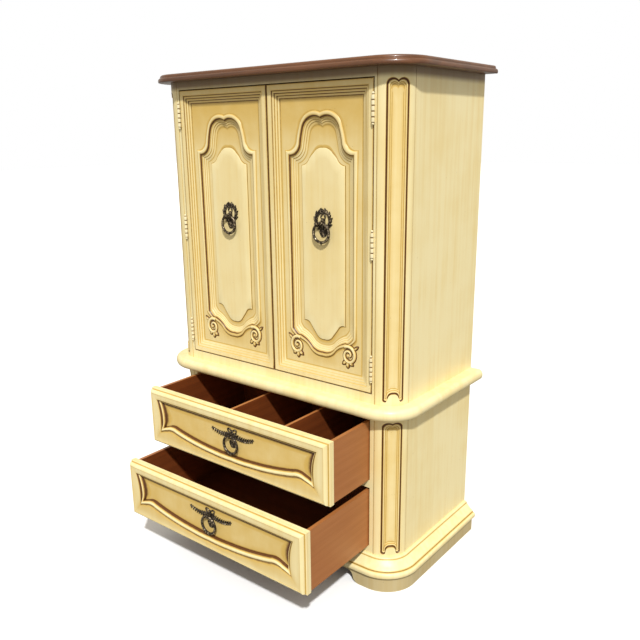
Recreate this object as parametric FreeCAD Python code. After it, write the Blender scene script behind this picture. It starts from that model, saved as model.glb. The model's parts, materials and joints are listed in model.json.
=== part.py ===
"""Painted two-door armoire on a two-drawer base.

Millimetres, +Z up.  The origin is on the floor at the middle of the back: X runs to the
right, the back is the plane y = 0 and the front looks towards -Y.  The doors are shut, both
drawers stand part open and the rings of the pulls hang down.
"""
import FreeCAD
import Part
import os
from math import sqrt

V = FreeCAD.Vector
X_AXIS = V(1, 0, 0)
Y_AXIS = V(0, 1, 0)
Z_AXIS = V(0, 0, 1)
ORIGIN = V(0, 0, 0)

# a cutting shape runs this far past what it cuts, and edges within the tolerance are in line
cut_over = 1.0
tolerance = 1e-6

# ---- case ----
case_width = 976.0
case_depth = 503.0
corner_radius = 78.0
post_thickness = 20.0
side_thickness = 19.0
back_thickness = 6.0
back_rebate = 8.0
plinth_height = 52.0
base_board_thickness = 18.0
waist_thickness = 38.0
waist_nose = 17.0
waist_overhang = 46.0
door_bay_height = 984.0
top_thickness = 25.0
top_nose_low = 8.0
top_nose_high = 14.0
nose_limit = 0.95
top_overhang = 43.0

# ---- plinth and base moulding ----
plinth_thickness = 18.0
plinth_offset = 34.0
plinth_apron = 10.0
foot_width = 34.0
foot_knee = 23.0
foot_slope = 50.0
foot_knee_share = 0.57
base_board_offset = 20.0
moulding_height = 58.0
moulding_nose = 46.0
moulding_nose_low = 38.0
moulding_nose_rise = 8.0
moulding_nose_flat = 12.0
moulding_bead = 9.0
moulding_bead_height = 7.0

# ---- front frames ----
door_stile_width = 8.0
door_stile_depth = 60.0
drawer_stile_width = 14.0
frieze_height = 26.0
bottom_rail_height = 30.0
rail_thickness = 20.0
drawer_frame_depth = 60.0
top_panel_thickness = 18.0
floor_thickness = 18.0

# ---- shelves ----
shelf_thickness = 18.0
shelf_setback = 45.0
shelf_heights = (300.0, 620.0)
shelf_gap = 0.5
shelf_pin_radius = 3.0
shelf_pin_length = 16.0
shelf_pin_inset = 60.0
shelf_rear_gap = 1.0

# ---- doors ----
door_gap = 2.0
door_meeting_gap = 3.0
door_thickness = 32.0
frame_flat = 20.0
frame_moulding = 24.0
frame_rebate = 25.0
field_depth = 13.0
field_thickness = 13.0
door_fit = 0.3
raised_thickness = 3.0
raised_inset = 34.0
opening_side_margin = 78.0
opening_top_margin = 98.0
opening_bottom_margin = 97.0
opening_lobe_share = 0.585
opening_lobe_fall = 34.0
opening_cusp = 4.0
opening_shoulder_drop = 113.0
opening_foot_rise = 62.0
opening_step_height = 38.0
opening_dip_share = 0.42

# ---- carved scrolls ----
scroll_inset = 20.0
scroll_rise = 4.0
scroll_radius = 19.0
scroll_relief = 5.0
scroll_eye_radius = 6.0
scroll_eye_offset = 2.0
leaf_radius = 15.0
leaf_relief = 4.0
leaf_offset = 9.0
leaf_drop = 22.0

# ---- hinges ----
hinge_height = 76.0
hinge_inset = 82.0
knuckle_radius = 5.0
knuckle_gap = 0.4
hinge_pin_radius = 2.0
hinge_pin_clearance = 0.05
finial_radius = 3.6
finial_lift = 2.9
leaf_thickness = 0.88
leaf_width = 25.0
barrel_clearance = 0.5

# ---- catches ----
catch_inset = 8.0
catch_width = 24.0
catch_height = 22.0
catch_depth = 22.0
strike_thickness = 1.5
strike_height = 14.0
strike_drop = 4.0
catch_clearance = 0.6

# ---- drawers ----
drawer_front_height = 207.0
drawer_front_lap = 4.0
drawer_front_core = 19.0
drawer_front_frame = 15.0
drawer_frame_round = 9.0
drawer_frame_inset = 5.0
drawer_frame_stile = 48.0
drawer_frame_top = 36.0
drawer_frame_low_end = 58.0
drawer_frame_low_hump = 70.0
drawer_frame_low_middle = 51.0
drawer_frame_bow = 7.0
drawer_reveal = 3.0
drawer_side_thickness = 12.0
drawer_back_thickness = 12.0
drawer_box_drop = 6.0
drawer_bottom_thickness = 6.0
drawer_bottom_rise = 8.0
drawer_rear_space = 57.0
drawer_box_clearance = 4.0
drawer_rail_clearance = 0.8
drawer_running_gap = 0.3
drawer_guide_gap = 0.7
divider_thickness = 10.0
divider_places = (-31.0, 205.0)
drawer_bottom_rail = 64.0
drawer_middle_rail = 26.0
drawer_top_rail = 14.0
upper_drawer_open = 195.0
lower_drawer_open = 310.0

# ---- drawer runners ----
runner_board_thickness = 14.0
runner_board_inner = 350.0
runner_board_notch = 30.0
runner_strip_height = 7.0
runner_strip_width = 20.0
guide_height = 24.0
guide_width = 14.0

# ---- ring pulls ----
ring_radius = 30.0
ring_wire = 4.5
ring_drop = 5.0
drop_tip_radius = 1.2
drop_root_radius = 2.6
drop_overlap = 1.0
eye_clearance = 0.8
eye_wall = 2.6
eye_width = 8.0
plate_thickness = 3.0
plate_relief = 2.5
ring_standoff = 9.0
door_pull_height = 512.0
door_plate_radius = 37.0
door_plate_rim = 9.0
door_plate_rise = 8.0
door_window_rise = 4.0
door_backing_half = 12.0
door_backing_low = 46.0
door_backing_high = 14.0
drawer_pull_height = 126.0
drawer_backing_half = 12.0
drawer_backing_low = 46.0
drawer_backing_high = 8.0
spray_root = 8.0
spray_root_rise = 6.0
spray_bend = 30.0
spray_bend_rise = 3.0
spray_length = 95.0
spray_height = 14.0
spray_droop = 8.0
pull_bow_half = 20.0
pull_bow_height = 24.0
rosette_radius = 13.0

# ---- what follows from them ----
case_half = case_width / 2
corner_x = case_half - corner_radius
corner_y = corner_radius - case_depth
front_y = -case_depth
base_top = plinth_height + base_board_thickness
lower_drawer_z = base_top + drawer_bottom_rail + drawer_reveal
upper_drawer_z = lower_drawer_z + drawer_front_height + drawer_middle_rail + 2 * drawer_reveal
lower_top = upper_drawer_z + drawer_front_height + drawer_reveal + drawer_top_rail
waist_top = lower_top + waist_thickness
upper_top = waist_top + door_bay_height
door_half = corner_x - door_stile_width
door_bottom = waist_top + bottom_rail_height + door_gap
door_top = upper_top - frieze_height - door_gap
door_height = door_top - door_bottom
door_width = door_half - door_gap - door_meeting_gap / 2
door_mid_x = door_meeting_gap / 2 + door_width / 2
drawer_bay_half = corner_x - drawer_stile_width
box_half = drawer_bay_half - drawer_box_clearance
drawer_front_width = 2 * (drawer_bay_half + drawer_front_lap)
drawer_box_depth = case_depth - back_thickness - drawer_rear_space
side_inner = case_half - side_thickness
hinge_x = door_half - door_gap / 2
hinge_y = front_y - knuckle_radius - barrel_clearance
hinge_heights = (
    door_bottom + hinge_inset,
    (door_bottom + door_top) / 2,
    door_top - hinge_inset,
)

made = {}


def keep(name, *solids):
    """Hold the solids of one named sub-part."""
    made[name] = list(solids)


def block(x0, x1, y0, y1, z0, z1):
    """A square-edged board between two corners."""
    return Part.makeBox(x1 - x0, y1 - y0, z1 - z0, V(x0, y0, z0))


def prism(points, direction):
    """A polygon carried along a direction."""
    corners = [V(*p) for p in points]
    corners.append(corners[0])
    return Part.Face(Part.makePolygon(corners)).extrude(direction)


def box_bottom(drawer_z):
    """The underside of a drawer's sides, just over the rail below them."""
    return drawer_z - drawer_reveal + drawer_rail_clearance


def mirrored(shape):
    """The same piece on the other side of the middle plane."""
    return shape.mirror(ORIGIN, X_AXIS)


def join(first, *others):
    """One solid from shapes that share faces."""
    return first.multiFuse(list(others)).removeSplitter().Solids[0]


def footprint(offset, z):
    """The case outline grown by an offset: square at the back, round at the front corners."""
    side = case_half + offset
    front = front_y - offset
    radius = corner_radius + offset
    swing = radius / sqrt(2)
    left = Part.LineSegment(V(-side, 0, z), V(-side, corner_y, z))
    left_corner = Part.Arc(
        V(-side, corner_y, z),
        V(-corner_x - swing, corner_y - swing, z),
        V(-corner_x, front, z),
    )
    face = Part.LineSegment(V(-corner_x, front, z), V(corner_x, front, z))
    right_corner = Part.Arc(
        V(corner_x, front, z),
        V(corner_x + swing, corner_y - swing, z),
        V(side, corner_y, z),
    )
    right = Part.LineSegment(V(side, corner_y, z), V(side, 0, z))
    rear = Part.LineSegment(V(side, 0, z), V(-side, 0, z))
    edges = [left, left_corner, face, right_corner, right, rear]
    return Part.Wire([edge.toShape() for edge in edges])


def shaped_board(offset, z, thickness, low_round, high_round):
    """A full-width board whose front and end edges are rounded above and below."""
    board = Part.Face(footprint(offset, z)).extrude(V(0, 0, thickness))
    for level, nose in ((z, low_round), (z + thickness, high_round)):
        radius = nose * min(1, nose_limit * thickness / max(low_round + high_round, 1))
        if radius > 0:
            edges = [
                edge for edge in board.Edges
                if abs(edge.BoundBox.ZMin - level) < tolerance
                and abs(edge.BoundBox.ZMax - level) < tolerance
                and edge.BoundBox.YMin < -tolerance
            ]
            board = board.makeFillet(radius, edges)
    return board.Solids[0]


def corner_run(section, start_y):
    """A section of (offset, height) pairs carried along one side and round the front corner."""
    side = prism([(case_half + o, start_y, h) for o, h in section], V(0, corner_y - start_y, 0))
    ring = [V(case_half + o, corner_y, h) for o, h in section]
    ring.append(ring[0])
    corner = Part.Face(Part.makePolygon(ring)).revolve(V(corner_x, corner_y, 0), Z_AXIS, -90)
    return join(side, corner)


def front_run(section):
    """The same section carried straight across the front."""
    points = [(-corner_x, front_y - o, h) for o, h in section]
    return prism(points, V(2 * corner_x, 0, 0))


def build_plinth():
    """Four boards on edge; the front one is cut away between two bracket feet."""
    inner = plinth_offset - plinth_thickness
    section = [
        (inner, 0),
        (plinth_offset, 0),
        (plinth_offset, plinth_height),
        (inner, plinth_height),
    ]
    right = corner_run(section, 0)
    keep("plinth_sides", right, mirrored(right))
    rear_half = case_half + inner
    keep("plinth_back", block(-rear_half, rear_half, -plinth_thickness, 0, 0, plinth_height))
    keep("plinth_front", front_run(section).cut(bracket_gap()).Solids[0])


def bracket_gap():
    """The gap between the feet: from each toe two arcs, hollow then round, rise to the apron."""
    toe = corner_x - foot_width
    knee = toe - foot_knee
    level = toe - foot_slope
    rise = plinth_height - plinth_apron
    knee_height = rise * foot_knee_share
    depth = front_y - plinth_offset - cut_over

    def half(sign):
        low = Part.Arc(
            V(sign * toe, depth, 0),
            V(sign * (toe - foot_knee * 0.7), depth, knee_height * 0.35),
            V(sign * knee, depth, knee_height),
        )
        high = Part.Arc(
            V(sign * knee, depth, knee_height),
            V(sign * (knee + (level - knee) * 0.26), depth, rise * 0.86),
            V(sign * level, depth, rise),
        )
        return [low.toShape(), high.toShape()]

    across = Part.LineSegment(V(-level, depth, rise), V(level, depth, rise)).toShape()
    floor = Part.LineSegment(V(-toe, depth, 0), V(toe, depth, 0)).toShape()
    outline = Part.Wire(Part.__sortEdges__(half(-1) + half(1) + [across, floor]))
    return Part.Face(outline).extrude(V(0, plinth_thickness + 2 * cut_over, 0))


def build_base():
    """The board that carries the lower case, and the moulding that wraps its edge."""
    keep("base_board", shaped_board(base_board_offset, plinth_height, base_board_thickness, 0, 0))
    low = plinth_height
    section = [
        (base_board_offset, low),
        (moulding_nose_low, low),
        (moulding_nose, low + moulding_nose_rise),
        (moulding_nose, low + moulding_nose_rise + moulding_nose_flat),
        (moulding_bead, low + moulding_height - moulding_bead_height),
        (moulding_bead, low + moulding_height),
        (0, low + moulding_height),
        (0, base_top),
        (base_board_offset, base_top),
    ]
    right = corner_run(section, 0)
    keep("base_moulding", right, mirrored(right), front_run(section))


def build_walls(storey, z0, z1):
    """Side panels, quarter-round corner posts and the back panel of one storey."""
    side = block(side_inner, case_half, corner_y, 0, z0, z1)
    rebate = block(side_inner, side_inner + back_rebate, -back_thickness, 0, z0, z1)
    side = side.cut(rebate).Solids[0]
    keep(storey + "_side_right", side)
    keep(storey + "_side_left", mirrored(side))
    inner = corner_radius - post_thickness
    post = Part.makeCylinder(corner_radius, z1 - z0, V(corner_x, corner_y, z0), Z_AXIS, 90)
    core = Part.makeCylinder(inner, z1 - z0, V(corner_x, corner_y, z0), Z_AXIS, 90)
    post = post.cut(core).Solids[0]
    post.rotate(V(corner_x, corner_y, 0), Z_AXIS, -90)
    keep(storey + "_corner_posts", post, mirrored(post))
    back_half = side_inner + back_rebate
    keep(storey + "_back_panel", block(-back_half, back_half, -back_thickness, 0, z0, z1))


def build_lower_frame():
    """Stiles and rails round the two drawer bays."""
    half = drawer_bay_half
    rear = front_y + drawer_frame_depth
    stile = block(half, corner_x, front_y, rear, base_top, lower_top)
    keep("drawer_stiles", stile, mirrored(stile))
    low_top = base_top + drawer_bottom_rail
    middle_top = upper_drawer_z - drawer_reveal
    middle_low = middle_top - drawer_middle_rail
    high_low = lower_top - drawer_top_rail
    keep(
        "drawer_rails",
        block(-half, half, front_y, front_y + rail_thickness, base_top, low_top),
        block(-half, half, front_y, rear, middle_low, middle_top),
        block(-half, half, front_y, rear, high_low, lower_top),
    )


def build_runners():
    """Boards along each side of a bay, with a strip under and a guide beside the drawer."""
    boards = []
    guides = []
    start = front_y + drawer_frame_depth
    end = -back_thickness
    notch_x = corner_x + runner_board_notch
    for drawer_z in (lower_drawer_z, upper_drawer_z):
        strip_top = box_bottom(drawer_z) - drawer_running_gap
        board_top = strip_top - runner_strip_height
        board_low = board_top - runner_board_thickness
        board = block(runner_board_inner, side_inner, start, end, board_low, board_top)
        notch = block(notch_x, side_inner, start, corner_y, board_low, board_top)
        board = board.cut(notch).Solids[0]
        guide_x = box_half + drawer_guide_gap
        strip = block(box_half - runner_strip_width, guide_x, start, end, board_top, strip_top)
        guide = block(
            guide_x, guide_x + guide_width, start, end, board_top, strip_top + guide_height
        )
        guide = join(strip, guide)
        boards += [board, mirrored(board)]
        guides += [guide, mirrored(guide)]
    keep("runner_boards", *boards)
    keep("runner_guides", *guides)


def build_upper_frame():
    """Frieze, bottom rail, narrow door stiles, and the inner top and floor."""
    stile = block(
        door_half, corner_x, front_y, front_y + door_stile_depth, waist_top, upper_top
    )
    keep("door_stiles", stile, mirrored(stile))
    half = door_half
    rear = front_y + rail_thickness
    frieze_low = upper_top - frieze_height
    rail_top = waist_top + bottom_rail_height
    keep("frieze_rail", block(-half, half, front_y, rear, frieze_low, upper_top))
    keep("door_bay_rail", block(-half, half, front_y, rear, waist_top, rail_top))
    keep("upper_top_panel", inner_board(rear, upper_top - top_panel_thickness, upper_top))
    keep("upper_floor", inner_board(rear, waist_top, waist_top + floor_thickness))


def inner_board(front, z0, z1):
    """A board that fills the case from side to side, notched round the corner posts."""
    middle = block(-door_half, door_half, front, -back_thickness, z0, z1)
    wing = block(door_half, side_inner, corner_y, -back_thickness, z0, z1)
    return join(middle, wing, mirrored(wing))


def build_shelves():
    """Two shelves on round pins let into the sides."""
    shelves = []
    pins = []
    half = side_inner - shelf_gap
    front = front_y + door_stile_depth + shelf_setback
    for height in shelf_heights:
        z = waist_top + height
        rear = -back_thickness - shelf_rear_gap
        shelves.append(block(-half, half, front, rear, z, z + shelf_thickness))
        for y in (front + shelf_pin_inset, -back_thickness - shelf_pin_inset):
            pin = Part.makeCylinder(
                shelf_pin_radius, shelf_pin_length, V(side_inner, y, z - shelf_pin_radius), V(-1, 0, 0)
            )
            pins += [pin, mirrored(pin)]
    keep("shelves", *shelves)
    keep("shelf_pins", *pins)


def door_opening(inset):
    """The shaped outline inside a door, as points and arcs about the door's middle.

    The top has two lobes that meet in a cusp, ogee shoulders below them and straight sides;
    the foot runs in a shallow serpentine that is lowest in the middle.  inset moves the whole
    outline inwards.
    """
    half = door_width / 2 - opening_side_margin - inset
    top = door_top - opening_top_margin - inset
    low = door_bottom + opening_bottom_margin + inset
    lobe = half * opening_lobe_share

    def side(sign):
        def arc(*stops):
            return Part.Arc(*[V(sign * x, 0, z) for x, z in stops]).toShape()

        crown = (lobe, top - opening_lobe_fall)
        neck = (lobe + 6, top - opening_shoulder_drop * 0.67)
        shoulder = (half, top - opening_shoulder_drop)
        foot = (half, low + opening_foot_rise)
        step = (half - 22, low + opening_step_height)
        dip = (half * opening_dip_share, low + opening_step_height * opening_dip_share)
        upright = Part.LineSegment(V(sign * half, 0, shoulder[1]), V(sign * half, 0, foot[1]))
        return [
            arc((0, top - opening_cusp), (lobe * 0.5, top), crown),
            arc(crown, (lobe + 1, (crown[1] + neck[1]) / 2), neck),
            arc(neck, (lobe + 22, shoulder[1] + 10), shoulder),
            upright.toShape(),
            arc(foot, (half - 6, (foot[1] + step[1]) / 2 - 3), step),
            arc(step, (half * 0.6, step[1] - 5), dip),
            arc(dip, (half * 0.2, dip[1] / 4 + low * 0.75), (0, low)),
        ]

    return Part.Wire(Part.__sortEdges__(side(1) + side(-1)))


def door_member(length, z_mitre):
    """One moulded frame member of a given length, laid along X and mitred at both ends.

    The member's outer edge is at z = 0 and its face at y = 0.
    """
    face = frame_flat
    deep = frame_flat + frame_moulding
    section = [
        (-length / 2, 0, 0),
        (-length / 2, 0, face),
        (-length / 2, field_depth, deep),
        (-length / 2, field_depth, frame_rebate),
        (-length / 2, door_thickness, frame_rebate),
        (-length / 2, door_thickness, 0),
    ]
    member = prism(section, V(length, 0, 0))
    for sign in (-1, 1):
        end = sign * length / 2
        wedge = prism(
            [(end, -cut_over, 0), (end, -cut_over, z_mitre), (end - sign * z_mitre, -cut_over, z_mitre)],
            V(0, door_thickness + 2 * cut_over, 0),
        )
        member = member.cut(wedge)
    return member.Solids[0]


def build_door(name, side):
    """One door: a mitred frame round a cut-out field, a raised panel and a back panel."""
    mid = side * door_mid_x
    width = door_width
    reach = frame_flat + frame_moulding
    low = door_member(width, reach)
    low.translate(V(mid, front_y, door_bottom))
    high = door_member(width, reach)
    high.rotate(ORIGIN, Y_AXIS, 180)
    high.translate(V(mid, front_y, door_top))
    uprights = []
    for turn, edge in ((90, -width / 2), (-90, width / 2)):
        upright = door_member(door_height, reach)
        upright.rotate(ORIGIN, Y_AXIS, turn)
        upright.translate(V(mid + edge, front_y, (door_bottom + door_top) / 2))
        uprights.append(upright)
    keep(name + "_frame", low, high, *uprights)

    half = width / 2 - frame_rebate - door_fit
    bottom = door_bottom + frame_rebate + door_fit
    top = door_top - frame_rebate - door_fit
    y_field = front_y + field_depth
    y_back = y_field + field_thickness
    field = block(mid - half, mid + half, y_field, y_back, bottom, top)
    hole = Part.Face(door_opening(0)).extrude(V(0, field_thickness + 2 * cut_over, 0))
    hole.translate(V(mid, y_field - cut_over, 0))
    keep(name + "_field", field.cut(hole).Solids[0])
    rear = front_y + door_thickness
    keep(name + "_back_panel", block(mid - half, mid + half, y_back, rear, bottom, top))
    raised = Part.Face(door_opening(raised_inset)).extrude(V(0, raised_thickness, 0))
    raised.translate(V(mid, y_back - raised_thickness, 0))
    keep(name + "_raised_panel", raised.Solids[0])


def build_scrolls(name, side):
    """A carved C-scroll with leaves below it, under each foot of a door's shaped opening."""
    mid = side * door_mid_x
    half = door_width / 2 - opening_side_margin
    low = door_bottom + opening_bottom_margin
    y_face = front_y + field_depth
    carved = []
    for sign in (-1, 1):
        x = mid + sign * (half - scroll_inset)
        z = low + scroll_rise
        place = V(x, y_face - scroll_relief, z)
        scroll = Part.makeCylinder(scroll_radius, scroll_relief, place, Y_AXIS)
        place = V(x - sign * scroll_eye_offset, y_face - scroll_relief - cut_over, z)
        eye = Part.makeCylinder(scroll_eye_radius, scroll_relief + 2 * cut_over, place, Y_AXIS)
        place = V(x - sign * leaf_offset, y_face - leaf_relief, low - leaf_drop)
        leaf = Part.makeCylinder(leaf_radius, leaf_relief, place, Y_AXIS)
        carved.append(join(scroll.cut(eye), leaf))
    keep(name + "_scrolls", *carved)


def knuckle(z0, z1, x):
    """One hollow barrel section of a hinge."""
    barrel = Part.makeCylinder(knuckle_radius, z1 - z0, V(x, hinge_y, z0))
    bore = Part.makeCylinder(hinge_pin_radius + hinge_pin_clearance, z1 - z0, V(x, hinge_y, z0))
    return barrel.cut(bore)


def build_hinges():
    """Butt hinges: three on each door, with the barrel proud of the front."""
    frame_leaves = []
    door_leaves = {"door_left": [], "door_right": []}
    pins = []
    third = hinge_height / 3
    reach = 2 * finial_radius
    for name, side in (("door_left", -1), ("door_right", 1)):
        x = side * hinge_x
        frame_side = sorted((side * door_half, side * (door_half - leaf_thickness)))
        door_edge = side * (door_mid_x + door_width / 2)
        door_side = sorted((door_edge, door_edge + side * leaf_thickness))
        for z in hinge_heights:
            low = z - hinge_height / 2
            high = z + hinge_height / 2
            bore = Part.makeCylinder(
                hinge_pin_radius + hinge_pin_clearance, hinge_height, V(x, hinge_y, low)
            )
            cheek = block(*frame_side, front_y, front_y + leaf_width, low, high)
            parts = [cheek]
            for z0, z1 in ((low, low + third), (high - third, high)):
                parts.append(block(*frame_side, hinge_y, front_y, z0, z1))
                parts.append(knuckle(z0, z1, x))
            frame_leaves.append(join(*parts).cut(bore).Solids[0])
            z0 = low + third + knuckle_gap
            z1 = high - third - knuckle_gap
            cheek = block(*door_side, front_y, front_y + leaf_width, low, high)
            neck = block(*door_side, hinge_y, front_y, z0, z1)
            leaf = join(cheek, neck, knuckle(z0, z1, x)).cut(bore)
            door_leaves[name].append(leaf.Solids[0])
            pin = Part.makeCylinder(hinge_pin_radius, hinge_height, V(x, hinge_y, low))
            lower = Part.makeSphere(finial_radius, V(x, hinge_y, low - finial_lift))
            upper = Part.makeSphere(finial_radius, V(x, hinge_y, high + finial_lift))
            side_box = (x - reach, x + reach, hinge_y - reach, hinge_y + reach)
            lower = lower.cut(block(*side_box, low, low + reach))
            upper = upper.cut(block(*side_box, high - reach, high))
            pins.append(join(pin, lower, upper))
        door_leaves[name].append(build_strike(side))
    keep("hinge_frame_leaves", *frame_leaves)
    keep("hinge_pins", *pins)
    for name, leaves in door_leaves.items():
        keep(name + "_fittings", *leaves)


def build_strike(side):
    """The small plate on the back of a door that meets its catch."""
    edges = sorted((side * catch_inset, side * (catch_inset + catch_width)))
    y = front_y + door_thickness
    high = door_top - strike_drop
    return block(*edges, y, y + strike_thickness, high - strike_height, high)


def build_catches():
    """A magnetic catch for each door, under the inner top."""
    catches = []
    y = front_y + door_thickness + strike_thickness + catch_clearance
    high = upper_top - top_panel_thickness
    for side in (-1, 1):
        edges = sorted((side * catch_inset, side * (catch_inset + catch_width)))
        catches.append(block(*edges, y, y + catch_depth, high - catch_height, high))
    keep("door_catches", *catches)


def ring(x, y, z):
    """A round wire ring with a small drop at its foot; z is the centre of its top wire."""
    centre = V(x, y, z - ring_radius)
    hoop = Part.makeTorus(ring_radius, ring_wire, centre, Y_AXIS)
    foot = z - 2 * ring_radius - ring_wire
    drop_low = V(x, y, foot - ring_drop + drop_overlap)
    drop = Part.makeCone(drop_tip_radius, drop_root_radius, ring_drop, drop_low, Z_AXIS)
    return join(hoop, drop)


def eye_post(x, y_plate, z):
    """The block that holds a ring's top wire, on the face of a pull's plate."""
    hole_radius = ring_wire + eye_clearance
    reach = ring_standoff + hole_radius + eye_wall
    half = eye_width / 2
    tall = hole_radius + eye_wall
    post = block(x - half, x + half, y_plate - reach, y_plate, z - tall, z + tall)
    start = V(x - half - cut_over, y_plate - ring_standoff, z)
    hole = Part.makeCylinder(hole_radius, eye_width + 2 * cut_over, start, X_AXIS)
    return post.cut(hole).Solids[0]


def rosette(x, y_plate, z):
    """The round boss behind the ring."""
    place = V(x, y_plate, z - ring_radius)
    return Part.makeCylinder(rosette_radius, plate_relief, place, V(0, -1, 0))


def build_door_pull(name, side):
    """An upright wreath-shaped plate with a hanging ring."""
    x = side * door_mid_x
    y = front_y + field_depth + field_thickness - raised_thickness
    z = door_bottom + door_pull_height
    y_plate = y - plate_thickness
    centre = z + door_plate_rise
    wreath = Part.makeCylinder(door_plate_radius, plate_thickness, V(x, y, centre), V(0, -1, 0))
    window = Part.makeCylinder(
        door_plate_radius - 2 * door_plate_rim, plate_thickness + 2 * cut_over,
        V(x, y + cut_over, centre + door_window_rise), V(0, -1, 0),
    )
    backing = block(
        x - door_backing_half, x + door_backing_half, y_plate, y,
        z - door_backing_low, z + door_backing_high,
    )
    solids = (wreath.cut(window), rosette(x, y_plate, z), eye_post(x, y_plate, z))
    keep(name + "_pull_plate", join(backing, *solids))
    keep(name + "_pull_ring", ring(x, y_plate - ring_standoff, z))


def build_drawer_pull(name, y, z):
    """A leaf spray either side of a bow, with a hanging ring below it."""
    y_plate = y - plate_thickness
    backing = block(
        -drawer_backing_half, drawer_backing_half, y_plate, y,
        z - drawer_backing_low, z + drawer_backing_high,
    )
    bow = block(-pull_bow_half, pull_bow_half, y_plate, y, z, z + pull_bow_height)
    solids = [bow, rosette(0, y_plate, z), eye_post(0, y_plate, z)]
    low = z - spray_height
    for sign in (-1, 1):
        points = [
            (spray_root, z + spray_root_rise), (spray_bend, z + spray_bend_rise),
            (spray_length, z + spray_droop), (spray_length, low + spray_droop),
            (spray_bend, low), (spray_root, low),
        ]
        spray = prism([(sign * x, y, h) for x, h in points], V(0, -plate_thickness, 0))
        solids.append(spray)
    keep(name + "_pull_plate", join(backing, *solids))
    keep(name + "_pull_ring", ring(0, y_plate - ring_standoff, z))


def frame_opening(y, z):
    """The shaped opening of a drawer front: straight head, bowed ends, serpentine foot."""
    half = drawer_front_width / 2 - drawer_frame_stile
    top = z + drawer_front_height - drawer_frame_top
    end = z + drawer_frame_low_end
    hump = z + drawer_frame_low_hump
    low = z + drawer_frame_low_middle

    def side(sign):
        def stop(x, height):
            return V(sign * x, y, height)

        corner = stop(half, top)
        foot = stop(half, end)
        crest = stop(half * 0.64, hump)
        dip = stop(half * 0.25, low + 3)
        edges = [
            Part.LineSegment(stop(0, top), corner),
            Part.Arc(corner, stop(half - drawer_frame_bow, (top + end) / 2), foot),
            Part.Arc(foot, stop(half * 0.86, hump), crest),
            Part.Arc(crest, stop(half * 0.45, (hump + low) / 2 + 3), dip),
            Part.LineSegment(dip, stop(0, low)),
        ]
        return [edge.toShape() for edge in edges]

    return Part.Wire(Part.__sortEdges__(side(1) + side(-1)))


def build_drawer(name, z, slide, dividers):
    """One drawer: core, moulded frame, two sides, back, bottom and any dividers."""
    y0 = front_y - slide
    half = drawer_front_width / 2
    top = z + drawer_front_height
    core = block(-half, half, y0 - drawer_front_core, y0, z, top)
    keep(name + "_front", core)
    y_frame = y0 - drawer_front_core
    frame = block(
        -half + drawer_frame_inset, half - drawer_frame_inset,
        y_frame - drawer_front_frame, y_frame,
        z + drawer_frame_inset, top - drawer_frame_inset,
    )
    y_face = y_frame - drawer_front_frame
    rim = [edge for edge in frame.Edges if abs(edge.BoundBox.YMax - y_face) < tolerance]
    frame = frame.makeFillet(min(drawer_frame_round, drawer_front_frame * nose_limit), rim)
    outline = Part.Face(frame_opening(y_frame + cut_over, z))
    hole = outline.extrude(V(0, -drawer_front_frame - 2 * cut_over, 0))
    keep(name + "_front_frame", frame.cut(hole).Solids[0])

    low = box_bottom(z)
    high = top - drawer_box_drop
    rear = y0 + drawer_box_depth
    inner = box_half - drawer_side_thickness
    right = block(inner, box_half, y0, rear, low, high)
    keep(name + "_sides", right, mirrored(right))
    keep(name + "_back", block(-inner, inner, rear - drawer_back_thickness, rear, low, high))
    bottom_low = low + drawer_bottom_rise
    bottom_high = bottom_low + drawer_bottom_thickness
    inner_rear = rear - drawer_back_thickness
    keep(name + "_bottom", block(-inner, inner, y0, inner_rear, bottom_low, bottom_high))
    if dividers:
        thin = divider_thickness / 2
        boards = [block(x - thin, x + thin, y0, inner_rear, bottom_high, high) for x in dividers]
        keep(name + "_dividers", *boards)
    build_drawer_pull(name, y_frame, z + drawer_pull_height)


def build():
    """Every sub-part, from the floor up."""
    build_plinth()
    build_base()
    build_walls("lower", base_top, lower_top)
    build_lower_frame()
    build_runners()
    waist = shaped_board(waist_overhang, lower_top, waist_thickness, waist_nose, waist_nose)
    keep("waist_board", waist)
    build_walls("upper", waist_top, upper_top)
    build_upper_frame()
    build_shelves()
    top = shaped_board(top_overhang, upper_top, top_thickness, top_nose_low, top_nose_high)
    keep("top_board", top)
    for name, side in (("door_left", -1), ("door_right", 1)):
        build_door(name, side)
        build_scrolls(name, side)
        build_door_pull(name, side)
    build_hinges()
    build_catches()
    build_drawer("lower_drawer", lower_drawer_z, lower_drawer_open, ())
    build_drawer("upper_drawer", upper_drawer_z, upper_drawer_open, divider_places)


build()
os.makedirs("parts", exist_ok=True)
for node, solids in made.items():
    shape = solids[0] if len(solids) == 1 else Part.makeCompound(solids)
    shape.exportStep("parts/" + node + ".step")
print(len(made), "nodes")
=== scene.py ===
"""The looks of a painted armoire: carved and glazed fronts, dark top, bronze pulls.

Lengths are written in millimetres and turned into metres where a mesh is made.
"""
import json
from math import pi, radians

import bmesh
import bpy
import numpy as np
from mathutils import Matrix, Vector


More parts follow.
